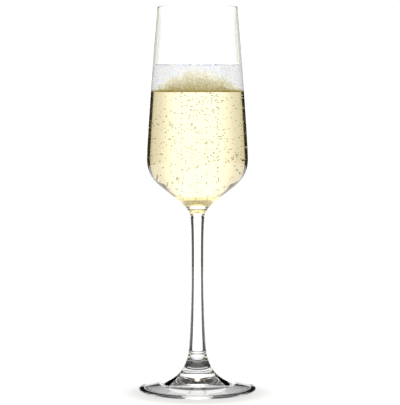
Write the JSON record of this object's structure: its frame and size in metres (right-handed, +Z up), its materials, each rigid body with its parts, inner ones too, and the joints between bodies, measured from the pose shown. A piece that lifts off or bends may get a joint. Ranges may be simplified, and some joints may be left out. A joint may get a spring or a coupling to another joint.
{
  "type": "champagne flute",
  "caption": "Stemmed glass flute with a tall cone-bottomed bowl, a slim waisted stem and a trumpet foot, filled with sparkling wine under a head of foam.",
  "frame": {"origin": "on the flute's axis, in the plane of the flat ring that the foot stands on", "axes": "+Z up along the stem, from the foot to the rim; the flute is round, so +X and +Y are any two square directions"},
  "size_m": [0.07, 0.07, 0.228],
  "materials": {
    "foot_glass": "polished",
    "stem_glass": "polished",
    "bowl_glass": "polished",
    "champagne": "gloss",
    "foam": "matte"
  },
  "bodies": {
    "root": {"foot": "foot_glass", "stem": "stem_glass", "bowl": "bowl_glass", "champagne": "champagne", "foam": "foam"}
  },
  "joints": []
}
